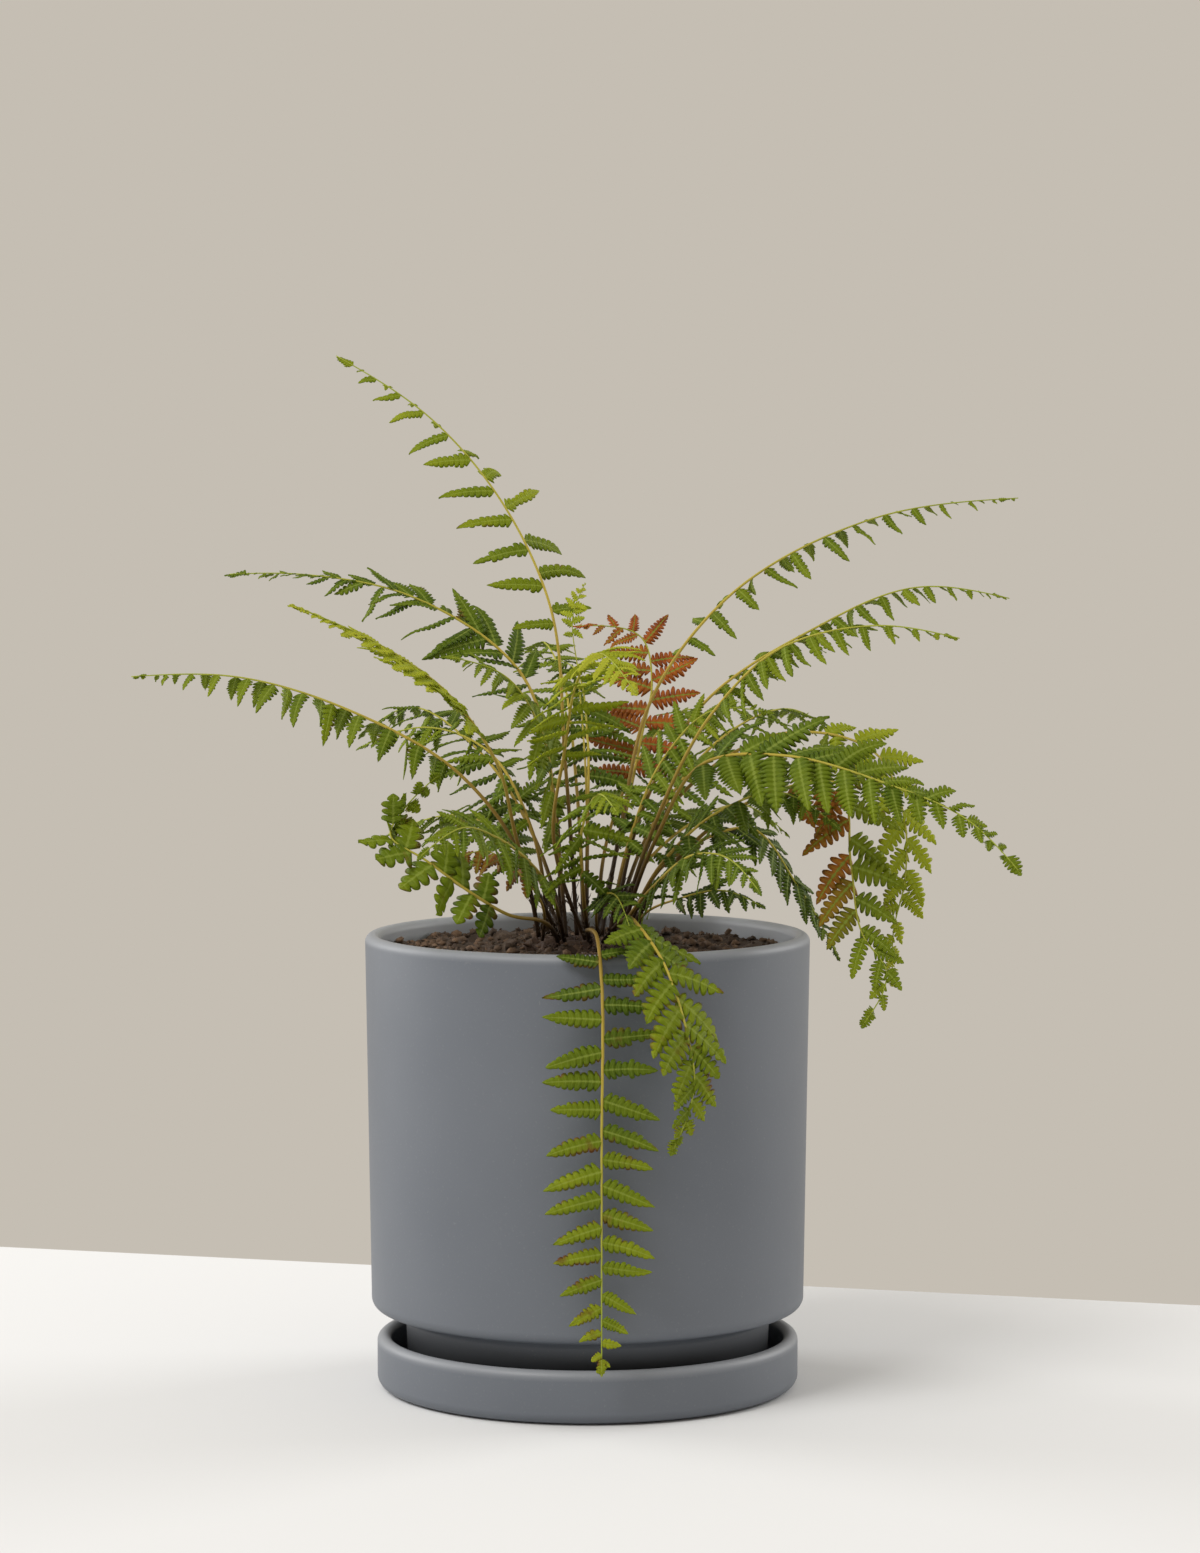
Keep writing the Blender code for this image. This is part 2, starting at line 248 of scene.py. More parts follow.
saucer_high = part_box("saucer")[1]
saucer_r = saucer_high.x / MM
saucer_top = saucer_high.z / MM
saucer_wall = 6.5
saucer_floor = 6.0
floor_corner = 4.0
under_corner = 5.0
lip = saucer_wall / 2
inner = saucer_r - saucer_wall
outline = [(0, saucer_floor), (20, saucer_floor), (60, saucer_floor)]
outline += arc(inner - floor_corner, saucer_floor + floor_corner, floor_corner, 270, 360, 9)
outline += arc(inner + lip, saucer_top - lip, lip, 180, 0, 17)
outline += [(saucer_r, saucer_top / 2)]
outline += arc(saucer_r - under_corner, under_corner + 0.6, under_corner, 0, -80, 11)
outline += [(saucer_r - 5.4, 0.35), (saucer_r - 6.2, 0), (60, 0), (0, 0)]
saucer = turned("saucer_body", outline)
saucer.data.materials.append(matt_glaze("saucer_glaze", saucer_top * MM))
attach(saucer, "root")
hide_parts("saucer")

# ---------------------------------------------------------------------------------------------
# Pot
# A slip-cast stoneware cylinder with the same glaze. The wall turns in under a rounded corner to
# a narrower foot, which stands down inside the saucer, and the floor has a drain hole.

pot_low, pot_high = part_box("pot")
rim_r = pot_high.x / MM
taper_in = 2.5
body_r = rim_r - taper_in
pot_top = pot_high.z / MM
foot_z = pot_low.z / MM
pot_wall = 7.0
turn_under_z = 41.0
turn_under_r = 5.0
foot_r = 81.0
foot_edge = 1.5
drain_r = 6.0
floor_under = foot_z + 4.0
floor_top = floor_under + 9.0
lip = pot_wall / 2

outline = arc(rim_r - lip, pot_top - lip, lip, 180, 0, 21)
outline += [(rim_r - 0.6, 165), (rim_r - 1.3, 120), (rim_r - 1.9, 80), (body_r + 0.1, 48)]
outline += arc(body_r - turn_under_r, turn_under_z, turn_under_r, 0, -76, 15)
outline += [(foot_r + 3.5, turn_under_z - 7.2), (foot_r + 1.6, turn_under_z - 8.4)]
outline += [(foot_r + 1.1, turn_under_z - 10), (foot_r, foot_z + foot_edge)]
outline += arc(foot_r - foot_edge, foot_z + foot_edge, foot_edge, -10, -90, 5)
outline += [(foot_r - 8, foot_z), (foot_r - 10, floor_under), (drain_r + 1, floor_under)]
outline += [(drain_r, floor_under + 1), (drain_r, floor_top - 1), (drain_r + 1, floor_top)]
outline += [(foot_r - 8, floor_top), (foot_r - 7, turn_under_z - 5)]
outline += [(body_r - pot_wall - 4, turn_under_z + 5), (body_r - pot_wall, turn_under_z + 12)]
outline += [(rim_r - pot_wall - 0.6, 165), (rim_r - pot_wall, pot_top - 10)]
pot = turned("pot_body", outline)
pot.data.materials.append(matt_glaze("pot_glaze", pot_top * MM))
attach(pot, "root")
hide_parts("pot")

# ---------------------------------------------------------------------------------------------
# Soil
# Dark potting mix: a lumpy surface a little under the rim, with loose crumbs and bits of bark on
# it. It is poured in round the roots and settles by watering.

soil_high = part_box("soil")[1]
soil_r = soil_high.x / MM
soil_top = 197.5
soil_steps = 200
bed_side = 20.0
bed_floor = 24.0
crumb_count = 1700
rng = np.random.default_rng(7)


def lumps(x, y, waves=70, longest=40.0, shortest=3.0, seed=3):
    """Uneven ground: a sum of waves in all directions, the long ones higher, scaled to about 1."""
    pick = np.random.default_rng(seed)
    size = longest * (shortest / longest) ** pick.random(waves)
    heading = pick.random(waves) * 2 * math.pi
    phase = pick.random(waves) * 2 * math.pi
    total = np.zeros_like(x)
    for length, turn, start in zip(size, heading, phase):
        away = x * math.cos(turn) + y * math.sin(turn)
        total += length * np.sin(away * 2 * math.pi / length + start)
    return total / (longest * math.sqrt(waves) * 0.3)


def ring_faces(shapes, rows, columns):
    """Faces of closed tubes: sides between the rings, and four-point faces across both ends."""
    start = np.arange(shapes)[:, None, None] * rows * columns
    row = np.arange(rows - 1)[None, :, None] * columns
    column = np.arange(columns)[None, None, :]
    after = (column + 1) % columns
    corner = [start + row + column, start + row + columns + column,
              start + row + columns + after, start + row + after]
    sides = np.stack(np.broadcast_arrays(*corner), -1).reshape(-1, 4)
    k = np.arange(columns // 2 - 1)
    cap = np.stack([k, k + 1, columns - 2 - k, columns - 1 - k], -1)
    first = (start.reshape(-1, 1, 1) + cap[None]).reshape(-1, 4)
    last = (start.reshape(-1, 1, 1) + (rows - 1) * columns + cap[None, :, ::-1]).reshape(-1, 4)
    return np.concatenate([sides, first, last])


def unit(vectors):
    return vectors / np.linalg.norm(vectors, axis=-1, keepdims=True)


def crumbs(places, sizes, pick, stretch=(1.0, 1.0, 0.7), rows=5, columns=6):
    """Loose crumbs: each is a ball of a few rings, sin and cos of two angles, pushed about."""
    count = len(places)
    down = np.linspace(0.12, math.pi - 0.12, rows)[None, :, None]
    round_ = np.linspace(0, 2 * math.pi, columns, endpoint=False)[None, None, :]
    ball = [np.sin(down) * np.cos(round_), -np.sin(down) * np.sin(round_), -np.cos(down)]
    ball = np.stack(np.broadcast_arrays(*ball), -1)
    bumpy = 1 + 0.28 * pick.standard_normal((count, rows, columns, 1))
    ball = ball * np.clip(bumpy, 0.5, 1.6) * np.array(stretch)
    ball = ball * pick.uniform(0.7, 1.3, (count, 1, 1, 3))
    turn = pick.uniform(0, 2 * math.pi, (count, 1, 1))
    x = ball[..., 0] * np.cos(turn) - ball[..., 1] * np.sin(turn)
    y = ball[..., 0] * np.sin(turn) + ball[..., 1] * np.cos(turn)
    shapes = np.stack([x, y, ball[..., 2]], -1) * sizes[:, None, None, None]
    return shapes + places[:, None, None, :]


def disc(count, radius, pick, inside=0.0):
    """Places spread evenly over a ring of ground."""
    r = np.sqrt(pick.uniform(inside ** 2, radius ** 2, count))
    turn = pick.uniform(0, 2 * math.pi, count)
    return r * np.cos(turn), r * np.sin(turn)


def ground(x, y):
    """Height of the soil: level, with lumps, and heaped a little round the crown."""
    r = np.hypot(x, y)
    return soil_top + 1.3 * lumps(x, y) - 1.0 + 3.0 * np.exp(-((r / 36.0) ** 4))


def potting_mix(name, warm):
    """Dark brown, finely broken: clumps, lighter fibres and a grainy relief."""
    finish = Finish(name)
    clumps = finish.noise(160.0, 5.0, 0.65)
    grains = finish.noise(1500.0, 3.0, 0.6)
    stops = [(0.25, (0.012, 0.008, 0.005)), (0.5, (0.050, 0.030, 0.018)),
             (0.75, (0.105, 0.066, 0.040))]
    color = finish.ramp(clumps * 0.6 + grains * 0.4, stops)
    tint = finish.attribute("tint")
    color = finish.mix(tint * warm, color, (0.20, 0.120, 0.070))
    return finish.surface(color, 0.8 + grains * 0.2, clumps + grains, 0.0006, 0.9)


radial = np.concatenate([np.linspace(0.0, soil_r, 90), [soil_r, soil_r - 4, 0.0]])
turn = np.linspace(0, 2 * math.pi, soil_steps, endpoint=False)
x = np.cos(turn)[:, None] * radial[None, :]
y = np.sin(turn)[:, None] * radial[None, :]
z = ground(x, y)
z[:, -3] = soil_top - bed_side
z[:, -2:] = soil_top - bed_floor
points = np.stack([x, y, z], -1)[:, ::-1] * MM
faces = round_faces(soil_steps, len(radial))
soil = add_mesh("soil_bed", points, faces[..., ::-1], {"tint": np.zeros(x.shape)}, weld=True)
soil.data.materials.append(potting_mix("potting_mix", 0.5))
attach(soil, "root")
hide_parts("soil")

x, y = disc(crumb_count, soil_r - 2.5, rng, 22.0)
size = 0.7 + 1.9 * rng.random(crumb_count) ** 3
shapes = crumbs(np.stack([x, y, ground(x, y) + size * 0.35], -1), size, rng)
tint = np.broadcast_to((rng.random(crumb_count) ** 2)[:, None, None], shapes.shape[:3])
loose = add_mesh("soil_crumbs", shapes * MM, ring_faces(*shapes.shape[:3]), {"tint": tint})
loose.data.materials.append(potting_mix("loose_mix", 0.75))
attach(loose, "root")

# ---------------------------------------------------------------------------------------------
# Crown
# The fern's short upright stem: a woody knot just out of the soil, shaggy with dry brown scales
# and the broken ends of old stalks. Every frond grows out of it.

crown_low, crown_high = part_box("crown")
crown_r = crown_high.x / MM
crown_top = crown_high.z / MM
knot_r = 30.5
knot_steps = 96
scale_count = 420


def blades(root, ahead, up, length, half, rows, sag=0.0, thick=0.12):
    """Thin pointed scales: half width times sin of the way along, bent down by sag."""
    u = np.linspace(0.0, 1.0, rows)[None, :, None]
    side = np.cross(up, ahead)[:, None, :]
    spine = root[:, None, :] + ahead[:, None, :] * (length[:, None, None] * u)
    spine = spine + np.array([0, 0, -1.0]) * (sag * length[:, None, None] * u ** 2)
    wide = (0.08 + np.sin(math.pi * np.clip(u * 0.93 + 0.05, 0, 1))) * half[:, None, None]
    rise = up[:, None, :] * thick
    return np.stack([spine - side * wide, spine + rise, spine + side * wide, spine - rise], 2)


def chaff(name):
    """Papery scales and old stalk ends: red-brown to straw, darker in the gaps."""
    finish = Finish(name)
    fibre = finish.noise(700.0, 3.0, 0.6)
    tint = finish.attribute("tint")
    stops = [(0.0, (0.014, 0.007, 0.004)), (0.55, (0.065, 0.030, 0.014)),
             (1.0, (0.20, 0.115, 0.055))]
    color = finish.ramp((tint * 0.75 + fibre * 0.35).clamp(), stops)
    return finish.surface(color, 0.7 + fibre * 0.25, fibre, 0.0002, 0.6)


turn = np.linspace(0, 2 * math.pi, knot_steps, endpoint=False)[:, None]
radial = np.array([0, 4, 8, 12, 16, 20, 24, 27, knot_r - 1, knot_r, knot_r, 22, 0.0])[None, :]
x = np.cos(turn) * radial
y = np.sin(turn) * radial
z = crown_top - 2.2 + 1.4 * lumps(x, y, 50, 14.0, 3.0, 11) - 3.5 * (radial / knot_r) ** 4
z[:, -3:] = crown_low.z / MM + np.array([6.0, 0.6, 0.6])
faces = round_faces(knot_steps, radial.shape[1])
tint = np.full(x.shape, 0.15)
knot = add_mesh("crown_knot", np.stack([x, y, np.minimum(z, crown_top)], -1) * MM, faces,
                {"tint": tint}, weld=True)
knot.data.materials.append(chaff("crown_bark"))
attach(knot, "root")
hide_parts("crown")

x, y = disc(scale_count, crown_r - 1.0, rng)
out = np.stack([x, y, np.zeros(scale_count)], -1) / crown_r
ahead = unit(out + rng.standard_normal((scale_count, 3)) * 0.45 + np.array([0, 0, 0.75]))
ahead[:, 2] = abs(ahead[:, 2])
level = unit(np.cross(ahead, rng.standard_normal((scale_count, 3))))
long = rng.uniform(3.0, 7.5, scale_count)
root = np.stack([x, y, crown_top - 3.5 - 3.0 * (np.hypot(x, y) / crown_r) ** 4], -1)
half = rng.uniform(0.35, 0.9, scale_count)
shapes = blades(root, ahead, np.cross(ahead, level), long, half, 5, 0.3)
tint = np.broadcast_to(rng.random(scale_count)[:, None, None] ** 1.5, shapes.shape[:3])
scales = add_mesh("crown_scales", shapes * MM, ring_faces(*shapes.shape[:3]), {"tint": tint})
scales.data.materials.append(chaff("crown_chaff"))
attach(scales, "root")

# ---------------------------------------------------------------------------------------------
# Fronds
# Each frond is one leaf: a wiry stalk that runs on as the midrib, with leaflets on both sides,
# cut into round lobes. New fronds are lime or rust red, old ones dark green with dry brown edges.

stalk_r = 1.1
tube_rings = 96
tube_sides = 8
base_scales = 16


def curve_through(points, fraction):
    """A smooth curve read at fractions of its length: a cubic between each two points, whose
    end slopes are the mean of the slopes on both sides, weighted by how near they are."""
    p = np.array(points, float)
    step = np.linalg.norm(np.diff(p, axis=0), axis=1)
    knot_at = np.concatenate([[0.0], np.cumsum(step)])
    chord = np.diff(p, axis=0) / step[:, None]
    slope = np.empty_like(p)
    slope[1:-1] = chord[:-1] * step[1:, None] + chord[1:] * step[:-1, None]
    slope[1:-1] /= (step[:-1] + step[1:])[:, None]
    slope[0] = 1.5 * chord[0] - 0.5 * slope[1]
    slope[-1] = 1.5 * chord[-1] - 0.5 * slope[-2]

    def at(t):
        run = t * knot_at[-1]
        i = np.clip(np.searchsorted(knot_at, run, side="right") - 1, 0, len(step) - 1)
        h = ((run - knot_at[i]) / step[i])[:, None]
        span = step[i][:, None]
        start = (1 + 2 * h) * (1 - h) ** 2 * p[i] + h * (1 - h) ** 2 * span * slope[i]
        return start + h * h * (3 - 2 * h) * p[i + 1] + h * h * (h - 1) * span * slope[i + 1]

    fine = np.linspace(0.0, 1.0, 401)
    run = np.concatenate([[0.0], np.cumsum(np.linalg.norm(np.diff(at(fine), axis=0), axis=1))])
    return at(np.interp(np.asarray(fraction) * run[-1], run, fine))


def frond_frame(ring, route, roll, fraction):
    """Centre, direction, cross direction and face direction at fractions of the frond's length.

    The stalk stands on the crown, ring mm out, on the side that it leans to. The cross direction
    is level and square to the way from root to tip, made square to the stalk, then rolled about it.
    """
    lean = np.array(route[2][:2], float)
    lean /= np.linalg.norm(lean)
    base = (ring * lean[0], ring * lean[1], crown_top + 0.3)
    points = [base, *route]
    centre = curve_through(points, fraction)
    ahead = curve_through(points, np.minimum(fraction + 0.001, 1.0))
    behind = curve_through(points, np.maximum(fraction - 0.001, 0.0))
    along = unit(ahead - behind)
    reach = np.array(route[-1][:2], float) - base[:2]
    reach /= np.linalg.norm(reach)
    flat = np.array([reach[1], -reach[0], 0.0])
    across = unit(flat - (along @ flat)[:, None] * along)
    face = np.cross(across, along)
    angle = math.radians(roll)
    return (centre, along, across * math.cos(angle) + face * math.sin(angle),
            face * math.cos(angle) - across * math.sin(angle))


def blade_outline(q, taper):
    """Leaflet length along the blade: it grows fast, then dwindles to the tip as q to the taper."""
    return np.clip(1.25 * np.minimum(1.0, 0.55 + 2.2 * q) * (1.0 - q ** taper), 0.1, 1.0)


def leaflets(root, ahead, up, length, half, bend, lobes, depth, point, pick):
    """Leaflets as closed thin sheets: two parameters, u from root to tip and v from edge to edge.

    The half width is an envelope, blunt at the root and pointed at the tip, times a row of round
    lobes. Lobes lean towards the tip. The spine's direction turns by bend times u to the power
    of 1.5. Between the veins each lobe bulges; the midrib is a groove above and a ridge below.
    """
    within = np.array([0.0, 0.09, 0.3, 0.55, 0.8, 0.93])
    phase = np.concatenate([(np.arange(lobes)[:, None] + within[None, :]).ravel(), [lobes]])
    u = phase / lobes
    swell = (1 - np.abs(2 * (phase % 1.0) - 1) ** 2.6) ** 0.55
    fused = np.clip((u - 0.72) / 0.25, 0, 1)
    swell = swell + (0.75 - swell) * fused * 0.75
    shape = np.minimum(1.0, u / 0.06) ** 0.6 * (1 - u ** point) ** 0.85
    wide = half[:, None] * (shape * (1 - depth + depth * swell))[None, :] + 0.10
    uneven = 1 + 0.10 * pick.standard_normal((len(half), lobes + 1))
    wide = wide * np.take(uneven, np.minimum(phase.astype(int), lobes), axis=1)
    turned_by = (u ** 1.5)[None, :, None]
    direction = unit(ahead[:, None, :] + bend[:, None, :] * turned_by)
    stride = np.diff(u, prepend=0.0)[None, :, None] * length[:, None, None]
    spine = root[:, None, :] + np.cumsum(direction * stride, axis=1)
    face = unit(up[:, None, :] - np.sum(up[:, None, :] * direction, -1, keepdims=True) * direction)
    side = np.cross(face, direction)
    waves = u[None, :] * pick.uniform(0.6, 1.4, (len(half), 1)) + pick.random((len(half), 1))
    wave = 0.16 * half[:, None] * np.sin(2 * math.pi * waves)
    cup = pick.uniform(-0.05, 0.32, (len(half), 1))
    w = wide[..., None]
    bulge = (0.16 * swell)[None, :] * wide
    columns = []
    for v, lift in ((-1.0, 0.0), (-0.55, 1.0), (0.0, -0.25), (0.55, 1.0), (1.0, 0.0), (0.0, None)):
        height = wave * abs(v) - cup * wide * v * v
        height = height - 0.22 if lift is None else height + bulge * lift + 0.06
        lean = direction * (w * 0.25 * abs(v))
        columns.append(spine + side * (w * v) + lean + face * height[..., None])
    shapes = np.stack(columns, 2)
    v = np.array([-1.0, -0.55, 0.0, 0.55, 1.0, 0.0])
    uv = np.stack(np.broadcast_arrays(phase[None, :, None], v[None, None, :]), -1)
    uv = np.broadcast_to(uv, (*shapes.shape[:3], 2))
    return shapes, uv


def living_leaf(name):
    """Fern green from dark to lime, or rust red, with paler veins, blotches and dry brown edges."""
    finish = Finish(name)
    young = finish.attribute("young")
    rust = finish.attribute("rust")
    dry = finish.attribute("dry")
    stalk = finish.attribute("stalk")
    veins = finish.add("ShaderNodeUVMap", {"uv_map": "veins"})
    phase = finish.coordinate("X", veins)
    across = abs(finish.coordinate("Y", veins))
    blotch = finish.noise(110.0, 3.0, 0.6)
    grain = finish.noise(1400.0, 2.0, 0.6)
    stops = [(0.0, (0.022, 0.042, 0.003)), (0.25, (0.072, 0.118, 0.004)),
             (0.5, (0.185, 0.240, 0.006)), (0.8, (0.42, 0.46, 0.02)), (1.0, (0.62, 0.62, 0.05))]
    green = finish.ramp((young + blotch * 0.22 - 0.11).clamp(), stops)
    stops = [(0.3, (0.20, 0.030, 0.006)), (0.7, (0.52, 0.130, 0.020))]
    red = finish.ramp((blotch + grain * 0.3 - 0.15).clamp(), stops)
    between = 1.0 - abs(phase.math("FRACT", phase) - 0.5) * 2.0
    side_vein = (between.rise(0.80, 0.97) * across.rise(1.0, 0.35)).clamp()
    rib = across.rise(0.16, 0.04)
    color = finish.mix((rust * (1.0 - rib * 0.9)).clamp(), green, red)
    pale = finish.mix(0.6, green, (0.42, 0.50, 0.10))
    color = finish.mix((rib + side_vein * 0.45).clamp() * 0.6, color, pale)
    edge = across.rise(0.55, 1.0)
    burnt = (edge * 0.8 + blotch.rise(0.5, 0.72) * 1.1 - (1.0 - dry) * 1.35).clamp()
    color = finish.mix(burnt, color, (0.150, 0.050, 0.014))
    # Stalk colour along its length: near black at the base, partly the stalk's own dark brown and
    # partly painted shade deep inside the plant, then brown, straw and green. The base scales take
    # the near black too.
    stem = finish.ramp(stalk, [(0.0, (0.008, 0.005, 0.003)), (0.12, (0.022, 0.014, 0.005)),
                               (0.26, (0.24, 0.155, 0.028)), (0.5, (0.46, 0.36, 0.055)),
                               (0.9, (0.30, 0.36, 0.040))])
    on_stalk = stalk.rise(0.001, 0.002)
    color = finish.mix(on_stalk, color, finish.mix(blotch * 0.2, stem, (0.16, 0.07, 0.02)))
    thin = (young * 0.42 + 0.05) * (1.0 - on_stalk)
    relief = grain * 0.25 + rib * -0.6 + side_vein * -0.6 + blotch * 0.4
    return finish.surface(color, 0.45 + blotch * 0.2, relief, 0.00025, 0.6,
                          {"Specular IOR Level": 0.16},
                          glow=(thin, (0.36, 0.46, 0.03)))


leaf = living_leaf("fern_leaf")


def grow_frond(name, ring, route, bare, pairs, reach, roll, droop, half=3.5, sweep=14,
               level=0.2, hang=0.35, hook=0.15, lobes=10, depth=0.68, young=(0.3, 0.4),
               rust=(0.0, 0.0), dry=0.2, gaps=0.0, twist=14, flat=0.0, taper=2.2, point=2.3,
               fade=2.0, thick=1.0):
    """One frond as one mesh: the stalk's tube, the leaflets, the end leaflet and the base scales.

    The stalk follows route in mm from its place on the crown, ring mm out. It is bare up to the
    fraction bare, and then holds pairs of leaflets, the longest about reach long, their widest
    half widths about half. roll turns the blade about the stalk, sweep turns the leaflets to the
    tip, droop turns them down, and twist scatters sweep, droop and the way that leaflets face;
    these angles are in degrees. flat takes the rise out of the leaflets' direction, level turns
    their faces up to the light, hang bends them down and hook bends them towards the frond's
    tip. lobes is the number of lobes along a long leaflet, and depth is how far they are cut in.
    taper is how late the blade narrows, and point how late a leaflet does. young, from old dark
    green at 0 to lime at 1, has a value at the root and one at the tip. rust has one for each
    side, and fade is where it ends. dry is how far the edges are brown, gaps the share of
    leaflets lost, and thick scales the stalk.
    """
    pick = np.random.default_rng(sum(map(ord, name)) + pairs)
    fraction = np.linspace(0.0, 1.0, tube_rings)
    centre, along, across, face = frond_frame(ring, route, roll, fraction)
    angle = np.linspace(0, 2 * math.pi, tube_sides, endpoint=False)[None, :, None]
    radius = (stalk_r * thick * (0.22 + 0.78 * (1 - fraction) ** 1.1))[:, None, None]
    out = np.cos(angle) * across[:, None] + np.sin(angle) * face[:, None]
    tube = centre[:, None] + radius * out

    # Each part holds its points, its vein coordinates, and its young, rust, dry and stalk values.
    parts = [(tube[None], np.zeros((1, tube_rings, tube_sides, 2)), 0.5, 0.0, 0.0,
              0.005 + fraction[None, :, None])]

    # The pairs stand closer towards the tip, and the two sides are a little out of step.
    q = (np.arange(pairs) + 0.5) / pairs
    q = 1 - (1 - q) ** 1.15
    for hand, side in enumerate((-1, 1)):
        here = np.clip(q + side * 0.22 / pairs + pick.normal(0, 0.05 / pairs, pairs), 0, 0.985)
        here = here[pick.random(pairs) >= gaps]
        count = len(here)
        centre, along, across, face = frond_frame(ring, route, roll, bare + (1 - bare) * here)
        size = blade_outline(here, taper)
        forward = np.radians(sweep + 26 * here + pick.normal(0, 2 + 0.35 * twist, count))[:, None]
        fall = np.radians(droop + pick.normal(0, 3 + 0.45 * twist, count))[:, None]
        ahead = across * side * np.cos(forward) + along * np.sin(forward)
        ahead = unit(ahead * np.array([1.0, 1.0, 1.0 - flat]))
        ahead = unit(ahead * np.cos(fall) + np.array([0, 0, -1.0]) * np.sin(fall))
        up = unit(face * (1 - level) + np.array([0, 0, 1.0]) * level)
        lean = np.radians(pick.normal(0, twist, count))[:, None]
        up = unit(up * np.cos(lean) + along * np.sin(lean))
        length = reach * size * pick.uniform(0.88, 1.06, count)
        wide = half * (0.25 + 0.75 * size) * pick.uniform(0.9, 1.1, count)
        bend = np.array([0, 0, -1.0]) * (hang * pick.uniform(0.5, 1.5, count))[:, None]
        bend = bend + along * (hook + pick.normal(0, 0.08, count))[:, None]
        tone = young[0] + (young[1] - young[0]) * here + pick.normal(0, 0.05, count)
        red = rust[hand] * np.clip((fade - here) * 4, 0, 1)
        scorch = np.clip(dry + pick.normal(0, 0.12, count), 0, 1)
        for big in (True, False):
            chosen = (size > 0.5) == big
            if chosen.any():
                number = lobes if big else max(5, lobes * 6 // 10)
                shapes, uv = leaflets(centre[chosen], ahead[chosen], up[chosen], length[chosen],
                                      wide[chosen], bend[chosen], number, depth, point, pick)
                tip = np.linspace(0, 0.12, shapes.shape[1])[None, :, None]
                green_here = tone[chosen][:, None, None] + tip
                red_here = red[chosen][:, None, None]
                brown_here = scorch[chosen][:, None, None]
                parts.append((shapes, uv, green_here, red_here, brown_here, 0.0))

    centre, along, across, face = frond_frame(ring, route, roll, np.array([0.97]))
    shapes, uv = leaflets(centre, along, face, np.array([reach * 0.32]), np.array([half * 0.55]),
                          np.array([[0, 0, -0.2]]), 6, depth, point, pick)
    parts.append((shapes, uv, young[1], max(rust) * (fade > 1), dry, 0.0))

    scales_at = pick.uniform(0.01, 0.10, base_scales)
    centre, along, across, face = frond_frame(ring, route, roll, scales_at)
    turn = pick.uniform(0, 2 * math.pi, base_scales)[:, None]
    out = across * np.cos(turn) + face * np.sin(turn)
    shapes = blades(centre + out * stalk_r * 0.8, unit(along + out * 0.5), out,
                    pick.uniform(2.0, 4.5, base_scales), pick.uniform(0.3, 0.6, base_scales), 4)
    parts.append((shapes, np.zeros((*shapes.shape[:3], 2)), 0.3, 0.0, 0.0, 0.10))

    points = np.concatenate([p[0].reshape(-1, 3) for p in parts])
    uv = np.concatenate([p[1].reshape(-1, 2) for p in parts])
    values = {key: np.concatenate([np.broadcast_to(p[n], p[0].shape[:3]).ravel() for p in parts])
              for n, key in ((2, "young"), (3, "rust"), (4, "dry"), (5, "stalk"))}
    start = 0
    faces = []
    for part in parts:
        faces.append(ring_faces(*part[0].shape[:3]) + start)
        start += part[0].size // 3
    piece = add_mesh("fern_" + name, points * MM, np.concatenate(faces), values, uv)
    piece.data.materials.append(leaf)
    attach(piece, "root")
    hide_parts("frond_" + name)


# The long upright ones, dark to mid green, their leaflets like steps that face the light.

grow_frond("tall_left", ring=6, bare=0.44, pairs=11, reach=27, roll=45, droop=0,
           route=[(-10, 10, 280), (-18, 20, 355), (-40, 30, 400), (-70, 40, 435),
                  (-115, 50, 465)],
           half=3.7, level=0.15, hang=0.55, hook=0.1, lobes=9, depth=0.35,
           young=(0.42, 0.55), sweep=24, flat=0.9, twist=10)
grow_frond("dark_left", ring=14, bare=0.38, pairs=20, reach=34, roll=25, droop=10,
           route=[(-15, 10, 265), (-30, 30, 320), (-80, 40, 355), (-130, 50, 365),
                  (-165, 60, 365)],
           half=5.0, level=0.6, hang=0.3, lobes=11, young=(0.16, 0.32),
           twist=22, sweep=38, taper=1.0)
grow_frond("lime_left", ring=18, bare=0.48, pairs=18, reach=27, roll=25, droop=10,
           route=[(-30, -30, 245), (-40, -50, 285), (-60, -65, 315), (-85, -85, 335),
                  (-125, -110, 355)],
           half=5.5, level=0.3, hang=0.2, lobes=10, young=(0.62, 0.95),
           dry=0.02, sweep=38, taper=1.3, twist=6)
grow_frond("long_left", ring=22, bare=0.36, pairs=12, reach=20, roll=10, droop=48,
           route=[(-35, -10, 250), (-55, -10, 275), (-105, -10, 305), (-155, -5, 320),
                  (-205, 5, 320)],
           half=4.8, level=0.0, hang=0.5, hook=-0.1, lobes=8, depth=0.5,
           young=(0.3, 0.48), point=1.3, twist=10)
grow_frond("curled_left", ring=25, bare=0.40, pairs=10, reach=19, roll=70, droop=15,
           route=[(-20, -50, 215), (-35, -70, 220), (-50, -80, 230), (-70, -85, 245),
                  (-85, -80, 255), (-80, -70, 265), (-65, -65, 280)],
           half=6.4, lobes=4, level=0.0, young=(0.24, 0.44), dry=0.55, hang=0.2,
           depth=0.62, point=3.5, twist=20, gaps=0.08)

# Two that hang over the front of the rim.

